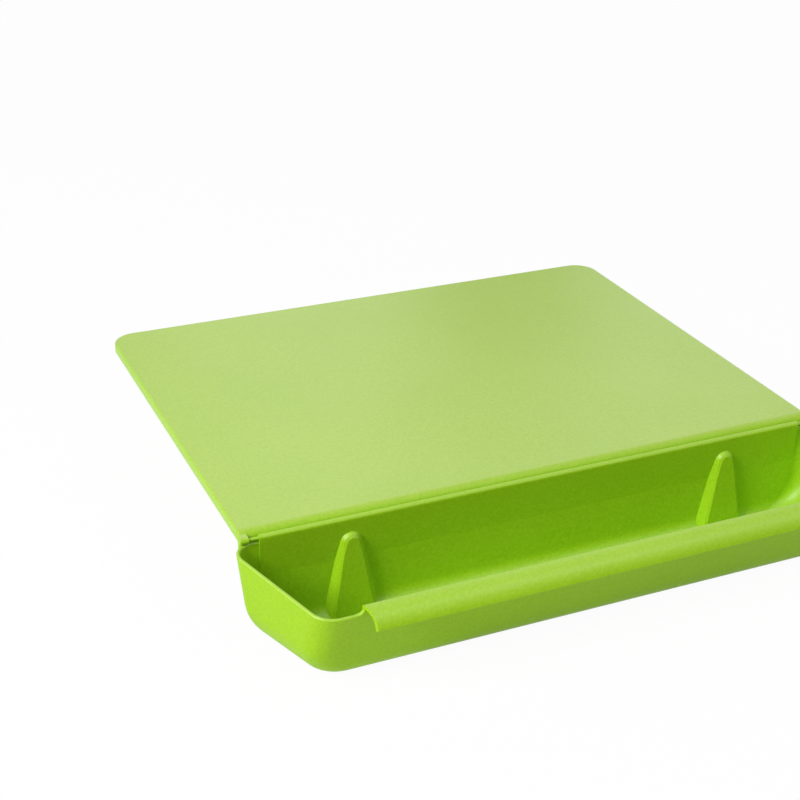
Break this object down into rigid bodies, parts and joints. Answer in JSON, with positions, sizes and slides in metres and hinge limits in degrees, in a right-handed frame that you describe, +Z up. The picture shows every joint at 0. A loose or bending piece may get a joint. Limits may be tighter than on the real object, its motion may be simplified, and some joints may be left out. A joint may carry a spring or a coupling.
{
  "type": "cutting board with folding scrap tray",
  "caption": "Green plastic cutting board that lies on a worktop, with an open scrap tray hinged along its front edge that hangs below it and folds up and over on to the board.",
  "frame": {"origin": "on the worktop's front top edge: the middle of the rear face of the board's front skirt, at the height of the feet's soles", "axes": "+X to the right along the front edge, +Y to the rear, away from the tray, +Z up"},
  "size_m": [0.3898, 0.3728, 0.0662],
  "materials": {
    "board_plastic": "fine-grained satin polypropylene",
    "tray_plastic": "smooth satin polypropylene",
    "pin_plastic": "moulded peg in the tray's colour",
    "foot_rubber": "pale anti-slip rubber"
  },
  "bodies": {
    "board_body": {"board": "board_plastic", "hinge_pin_left": "pin_plastic", "hinge_pin_right": "pin_plastic", "foot_front_left": "foot_rubber", "foot_front_right": "foot_rubber", "foot_rear_left": "foot_rubber", "foot_rear_right": "foot_rubber"},
    "tray_body": {"tray": "tray_plastic"}
  },
  "joints": [
    {"name": "tray_fold", "type": "hinge", "parent": "board_body", "child": "tray_body", "pos_m": [0, -0.0048, 0.0035], "axis": [-1, 0, 0], "range_deg": [0, 180]}
  ]
}
